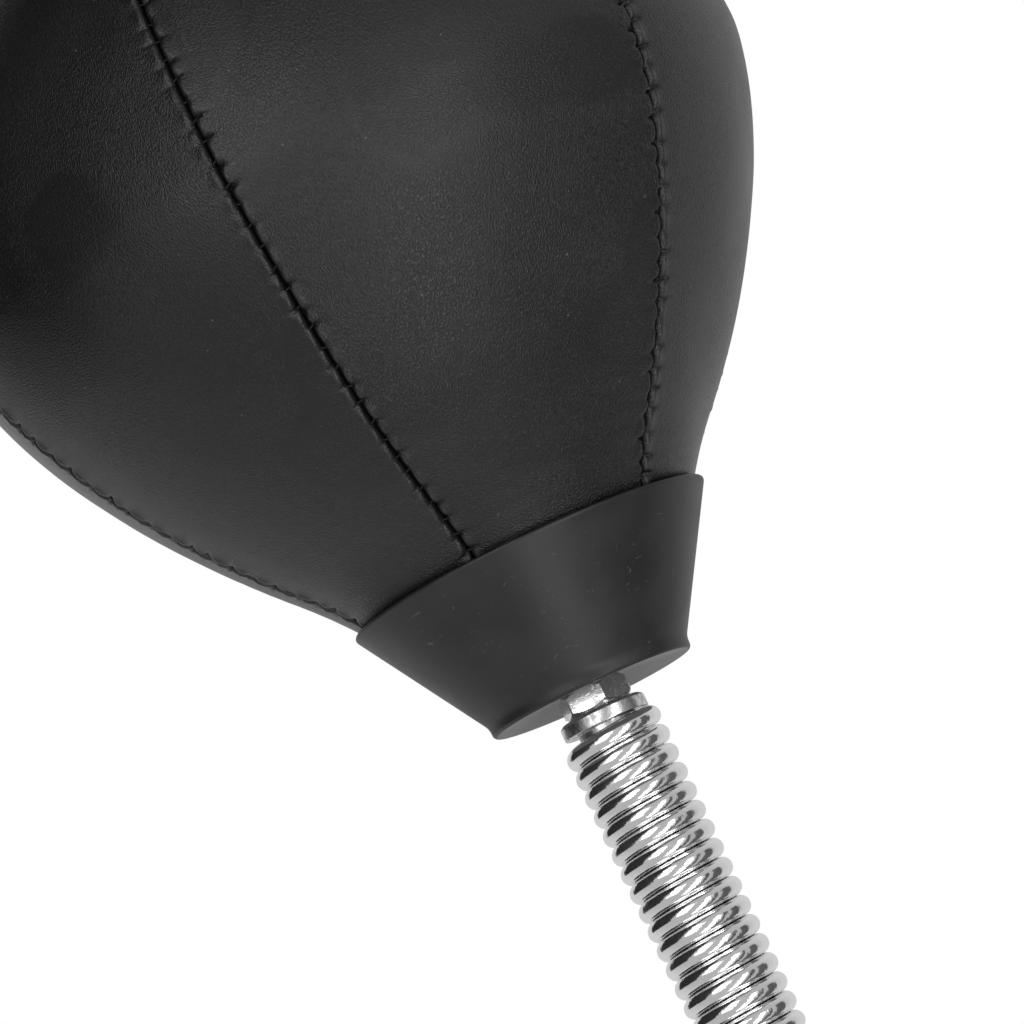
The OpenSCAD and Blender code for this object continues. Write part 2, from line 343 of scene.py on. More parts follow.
finishes = {
    "leather": makeLeather(),
    "thread": makeThread(),
    "cup_rubber": makeCupRubber(),
    "bladder_rubber": makePlainRubber("bladderRubber", (0.03, 0.03, 0.03, 1), 0.6),
    "valve_rubber": makePlainRubber("valveRubber", (0.012, 0.012, 0.012, 1), 0.45),
    "spring_chrome": makeChrome(),
    "nut_zinc": makeZinc("nutZinc", (0.84, 0.84, 0.85, 1), 0.2, 900.0),
    "stud_steel": makeZinc("studZinc", (0.70, 0.70, 0.72, 1), 0.22, 500.0),
    "plate_steel": makeZinc("plateSteel", (0.55, 0.55, 0.57, 1), 0.3, 300.0),
    "plug_steel": makeTurnedSteel(),
}
slots = {row["node"]: row["material_slot"] for row in frame["record"]["subparts"]}
for nodeName, nodeObject in frame["nodes"].items():
    nodeObject.data.materials.clear()
    nodeObject.data.materials.append(finishes[slots[nodeName]])
print("finishes made:", len(finishes))


def newMesh(name, bm):
    mesh = bpy.data.meshes.new(name)
    bm.to_mesh(mesh)
    bm.free()
    return mesh


def inScene(name, data):
    thing = bpy.data.objects.new(name, data)
    bpy.context.scene.collection.objects.link(thing)
    return thing


def toObject(name, bm, finish):
    mesh = newMesh(name, bm)
    mesh.polygons.foreach_set("use_smooth", [True] * len(mesh.polygons))
    mesh.materials.append(finishes[finish])
    piece = inScene(name, mesh)
    return piece


def turned(points, steps, closed=False):
    # a piece turned on the Z axis from its half section, given as (radius, height)
    bm = bmesh.new()
    verts = [bm.verts.new((radius, 0, height)) for radius, height in points]
    edges = [bm.edges.new(pair) for pair in zip(verts, verts[1:])]
    if closed:
        edges.append(bm.edges.new((verts[-1], verts[0])))
    bmesh.ops.spin(
        bm, geom=verts + edges, axis=(0, 0, 1), cent=(0, 0, 0),
        angle=fullTurn, steps=steps, use_merge=True,
    )
    bmesh.ops.remove_doubles(bm, verts=bm.verts, dist=mergeGap)
    bmesh.ops.recalc_face_normals(bm, faces=bm.faces)
    return bm


def closeEnds(bm):
    openEdges = [edge for edge in bm.edges if len(edge.link_faces) == 1]
    bmesh.ops.holes_fill(bm, edges=openEdges, sides=0)
    bmesh.ops.recalc_face_normals(bm, faces=bm.faces)


def rounded(corners, count=4):
    # a closed section of (radius, height, rounding in mm), with its corners cut round
    result = []
    for index, (radius, height, reach) in enumerate(corners):
        here = Vector((radius, height))
        if reach <= 0:
            result.append(tuple(here))
            continue
        before = Vector(corners[index - 1][:2]) - here
        after = Vector(corners[(index + 1) % len(corners)][:2]) - here
        cut = min(reach * mm, before.length * 0.45, after.length * 0.45)
        start = here + before.normalized() * cut
        end = here + after.normalized() * cut
        for step in range(count + 1):
            share = step / count
            spot = start * (1 - share) ** 2 + here * 2 * share * (1 - share) + end * share ** 2
            result.append(tuple(spot))
    return result


def ease(low, high, value):
    share = np.clip((value - low) / (high - low), 0, 1)
    return share * share * (3 - 2 * share)


def hump(value, width, power=2):
    return np.exp(-(value / width) ** power)


def pointsOf(mesh):
    flat = np.empty(len(mesh.vertices) * 3)
    mesh.vertices.foreach_get("co", flat)
    return flat.reshape(-1, 3)


def putPoints(mesh, points):
    mesh.vertices.foreach_set("co", points.astype(np.float32).ravel())
    mesh.update()


def polar(points):
    return np.hypot(points[:, 0], points[:, 1]), np.arctan2(points[:, 1], points[:, 0])


def layMap(piece, flat):
    # the leather's own map, in metres across and along the hide
    corners = np.empty(len(piece.data.loops), dtype=np.int64)
    piece.data.loops.foreach_get("vertex_index", corners)
    layer = piece.data.uv_layers.new(name=leatherMap)
    layer.data.foreach_set("uv", flat[corners].astype(np.float32).ravel())


studio = {
    "height": 48.7 * mm,  # of the view's middle above the cup's underside
    "aside": 1.15 * mm,
    "distance": 1.3,
    "viewWidth": 247.3 * mm,
    "elevation": -7.5,
    "roll": 25.3,
    "floorSize": 6.0,
    "floorGap": 0.2 * mm,
    "floorGrey": 0.25,
    "floorGlow": 0.62,
    # the white room round the object: dim in front of it, brighter behind
    "room": {"From Min": -0.1, "From Max": 0.7, "To Min": 0.58, "To Max": 0.80},
}
softboxes = {
    # name: (side, rise, distance, width, height, power)
    "stripBox": (29, -4, 1.6, 0.34, 3.0, 14.0),
    "frontBox": (-27, 8, 1.6, 0.85, 1.5, 8.0),
}
shadeCards = {
    # name: (side, rise, distance, width, height, grey)
    "leftCard": (-95, 12, 1.1, 2.0, 2.4, 0.03),
    "middleCard": (53, 0, 1.3, 0.26, 2.6, 0.12),
    "rightCard": (86, 0, 1.1, 0.55, 2.2, 0.16),
}
lookAt = Vector((0, 0, cupLow.z + studio["height"]))


def studioAxes():
    up = math.radians(studio["elevation"])
    roll = math.radians(studio["roll"])
    back = Vector((0, -math.cos(up), math.sin(up)))
    levelRight = Vector((1, 0, 0))
    levelUp = back.cross(levelRight)
    right = levelRight * math.cos(roll) - levelUp * math.sin(roll)
    upward = levelRight * math.sin(roll) + levelUp * math.cos(roll)
    return right, upward, back


def facing(back, upward, place):
    right = upward.cross(back).normalized()
    turn = Matrix((right, back.cross(right).normalized(), back.normalized())).transposed().to_4x4()
    return Matrix.Translation(place) @ turn


def aimed(side, rise, distance):
    # a place that faces the object: side and rise in degrees from the lens
    right, upward, back = studioAxes()
    a, b = math.radians(side), math.radians(rise)
    level = back * math.cos(a) * math.cos(b) + right * math.sin(a) * math.cos(b)
    direction = level + upward * math.sin(b)
    return facing(direction, upward, lookAt + direction * distance)


def makeCamera():
    right, upward, back = studioAxes()
    camera = inScene("camera", bpy.data.cameras.new("camera"))
    camera.data.lens = camera.data.sensor_width * studio["distance"] / studio["viewWidth"]
    place = lookAt + right * studio["aside"] + back * studio["distance"]
    camera.matrix_world = facing(back, upward, place)
    bpy.context.scene.camera = camera


def makeLights():
    for name, (side, rise, distance, width, height, power) in softboxes.items():
        light = bpy.data.lights.new(name, "AREA")
        light.shape = "RECTANGLE"
        light.size, light.size_y = width, height
        light.energy = power
        lamp = inScene(name, light)
        lamp.matrix_world = aimed(side, rise, distance)
        lamp.visible_camera = False


def stagePanel(name, finish, width, height, matrix):
    bm = bmesh.new()
    bmesh.ops.create_grid(bm, x_segments=1, y_segments=1, size=0.5)
    bmesh.ops.scale(bm, vec=(width, height, 1), verts=bm.verts)
    bmesh.ops.transform(bm, matrix=matrix, verts=bm.verts)
    panel = inScene(name, newMesh(name, bm))
    panel.data.materials.append(finish.material)
    panel.visible_shadow = False
    return panel


def makeCards():
    for name, (side, rise, distance, width, height, grey) in shadeCards.items():
        card = Finish(name, Roughness=1.0, Specular_IOR_Level=0.0, Base_Color=(grey, grey, grey, 1))
        panel = stagePanel(name, card, width, height, aimed(side, rise, distance))
        panel.visible_camera = False


def makeFloor():
    grey, wide = studio["floorGrey"], studio["floorSize"]
    paper = Finish("paleFloor", Roughness=0.85, Specular_IOR_Level=0.2, Base_Color=(grey, grey, grey, 1))
    paper.drive(Emission_Color=(1, 1, 1, 1), Emission_Strength=studio["floorGlow"])
    under = Matrix.Translation((0, 0, studLow.z - studio["floorGap"]))
    floor = stagePanel("floor", paper, wide, wide, under)
    # light also reaches the ball from below, as in an open studio
    floor.visible_glossy = False
    floor.visible_diffuse = False


def makeBackdrop():
    # the camera sees plain white; everything else sees the room
    world = bpy.data.worlds.new("whiteSweep")
    bpy.context.scene.world = world
    world.use_nodes = True
    board = Board(world.node_tree)
    board.feed(board.tree.nodes["Background"].inputs["Color"], (1, 1, 1, 1))
    seen = Channel(board, board.tree.nodes["Background"].outputs[0])
    direction = board.add("ShaderNodeTexCoord")["Generated"]
    depth = board.add("ShaderNodeSeparateXYZ", {}, {0: direction})["Y"]
    strength = board.add("ShaderNodeMapRange", {}, {"Value": depth, **studio["room"]})["Result"]
    around = board.add("ShaderNodeBackground", {}, {"Strength": strength})["Background"]
    forCamera = board.add("ShaderNodeLightPath")["Is Camera Ray"]
    either = board.add("ShaderNodeMixShader", {}, {0: forCamera, 1: around, 2: seen})["Shader"]
    board.feed(board.tree.nodes["World Output"].inputs["Surface"], either)


makeCamera()
makeLights()
makeCards()
makeFloor()
makeBackdrop()
bpy.context.scene.view_settings.view_transform = "Standard"
print("studio set up")


springSize = {
    "wire": 4.96 * mm,
    "turns": 30,
    "turnsOnPlug": 3,
    "turnsPerBend": 3,
    "sides": 24,
    "stepsPerTurn": 72,
    "tipChamfer": 0.35 * mm,
    "calm": 2.6 * mm,  # each bend starts and ends this far inside its length
}
coilRadius = springHigh.x - springSize["wire"] / 2
coilPitch = (springHigh.z - springLow.z - springSize["wire"]) / springSize["turns"]
firstCoilZ = springLow.z + springSize["wire"] / 2


def coilHeight(turn):
    return firstCoilZ + turn * coilPitch


def coilLength(fromTurn, toTurn, firstTip, lastTip):
    # a length of wire, with a chamfer where the spring itself ends
    size = springSize
    turns = toTurn - fromTurn
    steps = int(turns * size["stepsPerTurn"])
    lead = math.atan(coilPitch / (fullTurn * coilRadius))
    tilt = Matrix.Rotation(math.pi / 2 + lead, 3, "X")
    bm = bmesh.new()
    bmesh.ops.create_circle(bm, cap_ends=True, segments=size["sides"], radius=size["wire"] / 2)
    bmesh.ops.rotate(bm, verts=bm.verts, cent=(0, 0, 0), matrix=tilt)
    bmesh.ops.translate(bm, verts=bm.verts, vec=(coilRadius, 0, coilHeight(fromTurn)))
    onset = Matrix.Rotation(fullTurn * fromTurn, 3, "Z")
    bmesh.ops.rotate(bm, verts=bm.verts, cent=(0, 0, 0), matrix=onset)
    bmesh.ops.spin(
        bm, geom=bm.edges[:], axis=(0, 0, 1), cent=(0, 0, 0), dvec=(0, 0, turns * coilPitch / steps),
        angle=fullTurn * turns, steps=steps,
    )
    bmesh.ops.remove_doubles(bm, verts=bm.verts, dist=mergeGap)
    closeEnds(bm)
    tips = []
    for turn in [fromTurn] * firstTip + [toTurn] * lastTip:
        angle = fullTurn * turn
        centre = Vector((coilRadius * math.cos(angle), coilRadius * math.sin(angle), coilHeight(turn)))
        caps = [face for face in bm.faces if len(face.verts) > 4]
        cap = min(caps, key=lambda face: (face.calc_center_median() - centre).length)
        tips += list(cap.edges)
    if tips:
        bmesh.ops.bevel(
            bm, geom=tips, offset=size["tipChamfer"], offset_type="OFFSET", segments=2,
            profile=0.5, affect="EDGES", material=-1,
        )
    return bm


def makeSpring():
    bends = len(frame["joints"])
    size = springSize
    for bend in range(1, bends + 1):
        active = size["turnsOnPlug"] + (bend - 1) * size["turnsPerBend"]
        fromTurn = 0 if bend == 1 else active
        toTurn = size["turns"] if bend == bends else active + size["turnsPerBend"]
        bm = coilLength(fromTurn, toTurn, bend == 1, bend == bends)
        piece = toObject(f"spring_wire_{bend}", bm, "spring_chrome")
        start = (0, 0, coilHeight(active) + size["calm"])
        end = (0, 0, coilHeight(active + size["turnsPerBend"]) - size["calm"])
        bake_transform(piece)
        nodes = [f"spring_coils_{bend}"] + ([f"spring_coils_{bend + 1}"] if bend == bends else [])
        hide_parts(*nodes)


makeSpring()
print("spring wound:", springSize["turns"], "turns")


ball = {
    "waistHeight": 134.3 * mm,
    "crownRise": 106 * mm,
    "fullness": 1.485,
    "neck": 40.1 * mm,
    "rimBulgeReach": 14 * mm,
    "insideCup": ((5.9 * mm, 6.6 * mm), (23.47 * mm, 6.6 * mm)),
    "rimPlay": 2.3 * mm,
    "crownHole": 7 * mm,
    "firstSeam": 16.5,
    "lean": 1.42,  # the filled ball sits a little to one side of the spring
}
outlineRows = {"lower": 260, "crown": 320, "even": 1400, "pastFloor": 60}
seamCount = len([name for name in frame["nodes"] if name.startswith("panel_")])
panelTurn = fullTurn / seamCount
ballRadius = max(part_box(f"panel_{i + 1}")[1].x for i in range(seamCount))
cupHeight = cupHigh.z - cupLow.z


def lowerRadius(height):
    drop = ball["waistHeight"] - cupHeight
    power = ball["fullness"]
    depth = drop / (1 - (ball["neck"] / ballRadius) ** power) ** (1 / power)
    fall = np.clip((ball["waistHeight"] - height) / depth, 0, 1)
    pear = ballRadius * (1 - fall ** power) ** (1 / power)
    atRim = ballRadius * (1 - (drop / depth) ** power) ** (1 / power)
    bulge = cupHigh.x - ball["rimPlay"] - atRim
    fade = np.clip(1 - (height - cupHeight) / ball["rimBulgeReach"], 0, 1)
    return pear + bulge * fade ** 2


def makeOutline():
    # the leather's outer face from the bolt hole to the crown: radius, height, run and normal
    climb = np.linspace(0, 1, outlineRows["lower"]) ** 1.1
    heights = cupHeight + (ball["waistHeight"] - cupHeight) * climb
    lower = np.stack([lowerRadius(heights), heights], 1)
    crownEnd = math.asin(ball["crownHole"] / ballRadius)
    angles = np.linspace(math.pi / 2, crownEnd, outlineRows["crown"])[1:]
    rise = ball["waistHeight"] + ball["crownRise"] * np.cos(angles)
    crown = np.stack([ballRadius * np.sin(angles), rise], 1)
    points = np.concatenate([ball["insideCup"], lower, crown])
    run = np.concatenate([[0], np.cumsum(np.linalg.norm(np.diff(points, axis=0), axis=1))])
    even = np.linspace(0, run[-1], outlineRows["even"])
    radius = np.interp(even, run, points[:, 0])
    height = np.interp(even, run, points[:, 1])
    across = np.gradient(radius, even)
    up = np.gradient(height, even)
    size = np.hypot(across, up)
    return {"run": even, "radius": radius, "height": height, "out": up / size, "rise": -across / size}


outline = makeOutline()
outlineLength = outline["run"][-1]


def onOutline(run, *names):
    return [np.interp(run, outline["run"], outline[name]) for name in names]


def radiusAt(run):
    return onOutline(run, "radius")[0]


def leaned(points):
    over = np.clip(points[:, 2] - cupHigh.z, 0, None)
    result = points.copy()
    result[:, 0] -= math.tan(math.radians(ball["lean"])) * over
    return result


def leanMesh(piece):
    putPoints(piece.data, leaned(pointsOf(piece.data)))


def ballPoints(run, angle, depth):
    # points under the leather's outer face: depth is measured inwards along its normal
    radius, height, out, rise = onOutline(run, "radius", "height", "out", "rise")
    radius = radius - depth * out
    height = height - depth * rise
    points = np.stack([radius * np.cos(angle), radius * np.sin(angle), cupLow.z + height], 1)
    return leaned(points)


pastFloor, upper = outlineRows["pastFloor"], outline["height"] > ball["waistHeight"]
cupRimRun = np.interp(cupHeight, outline["height"][pastFloor:], outline["run"][pastFloor:])
patchRimRun = np.interp(-patchHigh.x, -outline["radius"][upper], outline["run"][upper])
seamStart = float(cupRimRun) - 3 * mm
seamEnd = float(patchRimRun) + 2 * mm
# how each sewn seam strays from its meridian, in mm: mean, swing, height where it swings
# furthest back, and length of a swing
seamWander = (
    (0.2, 0.9, 70, 210),
    (-0.2, 0.8, 40, 190),
    (0.1, 1.0, 90, 230),
    (0, 0.9, 55, 180),
    (-0.35, 1.15, 40, 180),
    (0.8, 1.6, 52, 140),
)


def alongSeam(run, comeIn, goOut):
    # 1 along the seam and 0 past its two ends; each fade is given from its own end
    started = ease(seamStart + comeIn[0], seamStart + comeIn[1], run)
    return started * (1 - ease(seamEnd + goOut[0], seamEnd + goOut[1], run))


def seamAngle(number, run):
    straight = math.radians(ball["firstSeam"]) + number * panelTurn
    mean, swing, low, length = (part * mm for part in seamWander[number % seamCount])
    radius, height = onOutline(run, "radius", "height")
    stray = mean - swing * np.cos(fullTurn * (height - low) / length)
    live = alongSeam(run, (-20 * mm, 0), (-60 * mm, -10 * mm))
    return straight + stray * live / radius


panelSize = {
    "thick": 2.0 * mm,
    "slack": 1.1 * mm,  # how far each panel hangs in before it is filled
    "fullest": 1.0 * mm,  # how far the filling may push it out past its outline
    "pinned": 40 * mm,  # the slack comes in over this length from each end
    "clothAcross": 18,
    "clothAlong": 72,
    "clothSteps": 20,
    "pressure": 4.0,
    "stiffness": 30,
    "middleColumns": 17,
    "narrow": 14 * mm,  # below this half width the rolled edges shrink with the panel
    "swells": ((34 * mm, 0.30 * mm), (11 * mm, 0.07 * mm)),  # size and height of slow swells in the hide
    "rowsBelow": 24,
    "rowsAbove": 14,
}
# the sewn edge from the turned-in allowance out to the face: distance from the seam, depth
rolledEdge = (
    (0.07, 5.2), (0.07, 3.5), (0.10, 2.4), (0.17, 1.7), (0.31, 1.15), (0.52, 0.72), (0.84, 0.38),
    (1.25, 0.14), (1.7, 0.02), (2.3, 0.0), (3.3, 0.0), (5.0, 0.0), (7.2, 0.0), (10.0, 0.0),
)
stitchSize = {
    "pitch": 5.5 * mm,
    "slant": 0.45 * mm,
    "slantReach": 1.2 * mm,
    "notchWidth": 0.40 * mm,
    "notchDepth": 1.0 * mm,
    "notchReach": 1.0 * mm,
    "notchFade": 1.35 * mm,
    "unevenPull": 0.42,
    "unevenPlace": 0.5 * mm,
    "puff": 0.55 * mm,
    "puffPlace": 1.1 * mm,
    "puffWidth": 0.9 * mm,
    "ripple": 0.10 * mm,
    "rippleReach": 4.5 * mm,
    "wornPlace": 1.05 * mm,
    "wornWidth": 0.55 * mm,
    "thread": 0.24 * mm,
    "sides": 5,
    "steps": 6,
    "bridgeWidth": 2.3 * mm,
    "bridgeHeight": 0.55 * mm,
    "bridgeDepth": 1.15 * mm,
    "runningDepth": 2.7 * mm,
    "runningDip": 0.16 * mm,
}
stations = np.arange(seamStart, seamEnd, stitchSize["pitch"])


def randomly(*key):
    # a repeatable number from -1 to 1
    return 2 * noise.cell(Vector([7.31 * part + 0.37 for part in (list(key) + [0, 0])[:3]])) - 1


def rowPlan():
    steps = np.array([-0.4, -0.27, -0.18, -0.11, -0.04, 0.04, 0.11, 0.18, 0.27, 0.4])
    sewn = (stations[:, None] + steps * stitchSize["pitch"]).ravel()
    before = np.linspace(0, sewn[0] - 1.0 * mm, panelSize["rowsBelow"])
    after = np.linspace(sewn[-1] + 1.0 * mm, outlineLength, panelSize["rowsAbove"])
    return np.concatenate([before, sewn, after])


def gridSheet(columns, rows):
    # a flat sheet, and how far across and along each corner lies: from 0 to 1, and counted
    bm = bmesh.new()
    bmesh.ops.create_grid(bm, x_segments=columns - 1, y_segments=rows - 1, size=1)
    share = (np.array([vert.co[:2] for vert in bm.verts]) + 1) / 2
    column, row = np.rint(share * (columns - 1, rows - 1)).astype(int).T
    return bm, share, column, row


def fillPanel(number):
    # the filling presses each panel out between its pinned seams
    size = panelSize
    still = np.zeros((size["clothAlong"] + 1, size["clothAcross"] + 1))
    bm, share, column, row = gridSheet(size["clothAcross"] + 1, size["clothAlong"] + 1)
    mesh = newMesh("clothPanel", bm)
    middle = share[:, 0] * 2 - 1
    run = share[:, 1] * outlineLength
    first, last = seamAngle(number, run), seamAngle(number + 1, run)
    angle = first + share[:, 0] * (last - first)
    inner = (1 - middle ** 2) * alongSeam(run, (0, size["pinned"]), (-size["pinned"], 0))
    start = ballPoints(run, angle, inner * size["slack"])
    putPoints(mesh, start)
    cloth = inScene("clothPanel", mesh)
    pinned = (np.abs(middle) > 0.99) | (run < seamStart) | (run > seamEnd)
    cloth.vertex_groups.new(name="sewn").add(np.flatnonzero(pinned).tolist(), 1.0, "REPLACE")
    settings = cloth.modifiers.new("cloth", "CLOTH").settings
    settings.use_pressure = True
    settings.uniform_pressure_force = size["pressure"]
    settings.effector_weights.gravity = 0
    settings.vertex_group_mass = "sewn"
    settings.quality = 6
    settings.tension_stiffness = size["stiffness"] + 6 * randomly(number, 3)
    settings.compression_stiffness = size["stiffness"]
    settings.bending_stiffness = 2
    scene = bpy.context.scene
    for step in range(size["clothSteps"]):
        scene.frame_set(step + 1)
    after = pointsOf(cloth.evaluated_get(bpy.context.evaluated_depsgraph_get()).to_mesh())
    outward = ballPoints(run, angle, -1 * mm) - ballPoints(run, angle, 0)
    outward /= np.linalg.norm(outward, axis=1)[:, None]
    moved = ((after - start) * outward).sum(1) - inner * size["slack"]
    still[row, column] = np.clip(moved, -size["slack"], size["fullest"])
    scene.frame_set(1)
    bpy.data.objects.remove(cloth)
    return still


def sampled(field, u, v):
    # smooth look-up in a small grid, u and v from 0 to 1
    rows, columns = field.shape
    x = np.clip(u * (columns - 1), 0, columns - 1.001)
    y = np.clip(v * (rows - 1), 0, rows - 1.001)
    i, j = x.astype(int), y.astype(int)
    fx, fy = ease(0, 1, x - i), ease(0, 1, y - j)
    top = field[j, i] * (1 - fx) + field[j, i + 1] * fx
    low = field[j + 1, i] * (1 - fx) + field[j + 1, i + 1] * fx
    return top * (1 - fy) + low * fy


def sewnDepth(run, distance, side, number):
    # how stitches pull the rolled edge in, how it puffs out between them, and the painted highlight on its puffed
    # crests
    size, count = stitchSize, len(stations)
    place = run - side * size["slant"] * np.clip(distance / size["slantReach"], 0, 1)
    index = np.clip(np.rint((place - stations[0]) / size["pitch"]).astype(int), 0, count - 1)
    uneven = np.array([randomly(k, side, number) for k in range(count)])[index]
    pull = 1 + size["unevenPull"] * uneven
    shift = np.array([randomly(k, side + 5, number) for k in range(count)])[index]
    off = place - stations[index] - size["unevenPlace"] * shift
    live = alongSeam(run, (-1 * mm, 1 * mm), (-1 * mm, 1 * mm))
    notch = hump(off, size["notchWidth"]) * hump(distance - size["notchReach"], size["notchFade"], 4)
    hill = 0.5 + 0.5 * np.cos(fullTurn * off / size["pitch"] + math.pi)
    crest = hump(distance - size["puffPlace"], size["puffWidth"])
    ripple = np.exp(-distance / size["rippleReach"]) * hill * size["ripple"]
    # painted highlight: a paler band along the puffed crest, strongest midway between stitches
    worn = hump(distance - size["wornPlace"], size["wornWidth"]) * hill
    crestSheen = live * worn * (0.75 + 0.35 * size["unevenPull"] * uneven)
    return live * (size["notchDepth"] * pull * notch - size["puff"] * hill * crest - ripple), crestSheen


def softly(points, scale, key):
    shifted = points / scale
    return np.array([noise.noise(Vector((x, y, z + key * 11.3))) for x, y, z in shifted])


def makePanel(number):
    size = panelSize
    rows = rowPlan()
    edge = np.array(rolledEdge) * mm
    columns = 2 * len(edge) + size["middleColumns"]
    bm, _, column, row = gridSheet(columns, len(rows))
    run = rows[row]
    radius = radiusAt(run)
    first, last = seamAngle(number, run), seamAngle(number + 1, run)
    half = radius * (last - first) / 2
    scale = np.clip(half / size["narrow"], 0, 1)
    fromLeft = column < len(edge)
    fromRight = column >= columns - len(edge)
    inner = ~(fromLeft | fromRight)
    order = np.where(fromLeft, column, np.where(fromRight, columns - 1 - column, len(edge) - 1))
    depth = edge[order, 1] * scale
    share = (column - len(edge) + 1) / (size["middleColumns"] + 1)
    reach = edge[-1, 0] * scale
    distance = np.where(inner, reach + share * 2 * (half - reach), edge[order, 0] * scale)
    fromSeam = np.where(inner, np.minimum(distance, 2 * half - distance), distance)
    angle = np.where(fromRight, last - distance / radius, first + distance / radius)
    seamSide = np.where(fromRight | (inner & (share > 0.5)), -1, 1)
    crestSheen = np.zeros(len(run))
    for side, seam in ((1, number), (-1, number + 1)):
        own = seamSide == side
        change, crestSheen[own] = sewnDepth(run[own], fromSeam[own], side, seam % seamCount)
        depth[own] += change * scale[own] * (edge[order[own], 1] < size["thick"])
    u = (angle - first) / (last - first)
    fade = ease(0, 6 * mm, fromSeam)
    depth -= sampled(fillPanel(number), u, run / outlineLength) * fade
    points = ballPoints(run, angle, depth)
    outward = (ballPoints(run, angle, depth - 1 * mm) - points) / mm
    swell = sum(softly(points, wide, number) * high for wide, high in size["swells"])
    points += outward * (swell * ease(seamStart, seamStart + 20 * mm, run) * fade)[:, None]
    panel = toObject(f"leather_panel_{number + 1}", bm, "leather")
    putPoints(panel.data, points)
    across = (u - 0.5) * 2 * half
    layMap(panel, np.stack([across + 0.37 * number, run + 0.61 * number], 1))  # no two panels alike
    # the painted highlight on the seam crests goes into the mesh as a point layer
    worn = panel.data.attributes.new(seamSheenLayer, "FLOAT", "POINT")
    worn.data.foreach_set("value", np.clip(crestSheen, 0, 1).astype(np.float32))
    wall = panel.modifiers.new("wall", "SOLIDIFY")
    wall.thickness = size["thick"]
    wall.offset = -1
    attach(panel, "head")
    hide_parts(f"panel_{number + 1}")


for panelNumber in range(seamCount):
    makePanel(panelNumber)
print("leather panels cut and filled:", seamCount, "with", len(stations), "stitches a seam")


def stitchShape(width, height):
    # one short bridge of thread, its ends turned down, lying across X
    size = stitchSize
    bm = bmesh.new()
    bmesh.ops.create_circle(bm, segments=size["sides"], radius=size["thread"])
    bmesh.ops.translate(bm, verts=bm.verts, vec=(-width / 2, 0, 0))
    bmesh.ops.spin(
        bm, geom=bm.edges[:], axis=(0, 1, 0), cent=(0, 0, 0), angle=math.pi, steps=size["steps"],
    )
    bmesh.ops.remove_doubles(bm, verts=bm.verts, dist=mergeGap)
    bmesh.ops.scale(bm, vec=(1, 1, height / (width / 2)), verts=bm.verts)
    closeEnds(bm)
    return newMesh("stitch", bm)


def frameAt(run, seam, depth):
    # a place under the leather's face with X across the seam, Y along it and Z outwards
    runs = np.array([run, run + 0.5 * mm, run])
    depths = np.array([depth, depth, depth - 0.5 * mm])
    spots = ballPoints(runs, seamAngle(seam, runs), depths)
    here, ahead, above = (Vector(spot) for spot in spots)
    along = (ahead - here).normalized()
    out = (above - here).normalized()
    across = along.cross(out).normalized()
    turn = Matrix((across, out.cross(across).normalized(), out)).transposed().to_4x4()
    return Matrix.Translation(here) @ turn


def addCopy(bm, mesh, matrix):
    before = len(bm.verts)
    bm.from_mesh(mesh)
    bm.verts.ensure_lookup_table()
    bmesh.ops.transform(bm, matrix=matrix, verts=bm.verts[before:])


def makeSeamThread(seam, bridge):
    size = stitchSize
    first, last = seamStart + 1 * mm, seamEnd - 1 * mm
    bm = bmesh.new()
    for index, station in enumerate(stations):
        if station > last:
            continue
        scale = min(1, float(radiusAt(station)) * panelTurn / 2 / panelSize["narrow"])
        wiggle = 0.25 * mm * randomly(index, 9, seam)
        spot = frameAt(station + wiggle, seam, size["bridgeDepth"] * scale)
        slant = math.atan2(size["slant"], size["slantReach"]) + 0.25 * randomly(index, 2, seam)
        shrink = Matrix.Diagonal((scale, scale, scale, 1))
        addCopy(bm, bridge, spot @ Matrix.Rotation(slant, 4, "Z") @ shrink)
    # the running thread at the bottom of the groove, dipping under each bridge
    runs = np.linspace(first, last, int((last - first) / size["pitch"] * 6))
    dips = size["runningDip"] * np.cos(fullTurn * (runs - stations[0]) / size["pitch"])
    spots = [frameAt(run, seam, size["runningDepth"] + dip) for run, dip in zip(runs, dips)]
    ring = bmesh.ops.create_circle(bm, cap_ends=True, segments=size["sides"], radius=size["thread"])
    face = ring["verts"][0].link_faces[0]
    upright = Matrix.Rotation(-math.pi / 2, 4, "X")
    bmesh.ops.transform(bm, matrix=spots[0] @ upright, verts=face.verts)
    for step, (before, after) in enumerate(zip(spots, spots[1:])):
        grown = bmesh.ops.extrude_face_region(bm, geom=[face])["geom"]
        if step:
            bmesh.ops.delete(bm, geom=[face], context="FACES_ONLY")
        face = next(item for item in grown if isinstance(item, bmesh.types.BMFace))
        bmesh.ops.transform(bm, matrix=after @ before.inverted(), verts=face.verts)
    bmesh.ops.recalc_face_normals(bm, faces=bm.faces)
    thread = toObject(f"seam_stitches_{seam + 1}", bm, "thread")
    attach(thread, "head")
    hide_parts(f"seam_thread_{seam + 1}")


bridgeMesh = stitchShape(stitchSize["bridgeWidth"], stitchSize["bridgeHeight"])
for seamNumber in range(seamCount):
    makeSeamThread(seamNumber, bridgeMesh)
print("seams sewn")


patch = {
    "thick": 1.6 * mm,
    "lift": 0.15 * mm,
    "rings": 26,
    "stitchRing": 18.6 * mm,
    "stitches": 30,
    "stitchWidth": 3.0 * mm,
    "channel": 0.5 * mm,
    "channelWidth": 0.9 * mm,
    "dimple": 0.18 * mm,
    "dimpleWidth": 0.8 * mm,
}


def crownHeight(radius):
    share = np.sqrt(np.clip(1 - (np.asarray(radius) / ballRadius) ** 2, 0, 1))
    return cupLow.z + ball["waistHeight"] + ball["crownRise"] * share


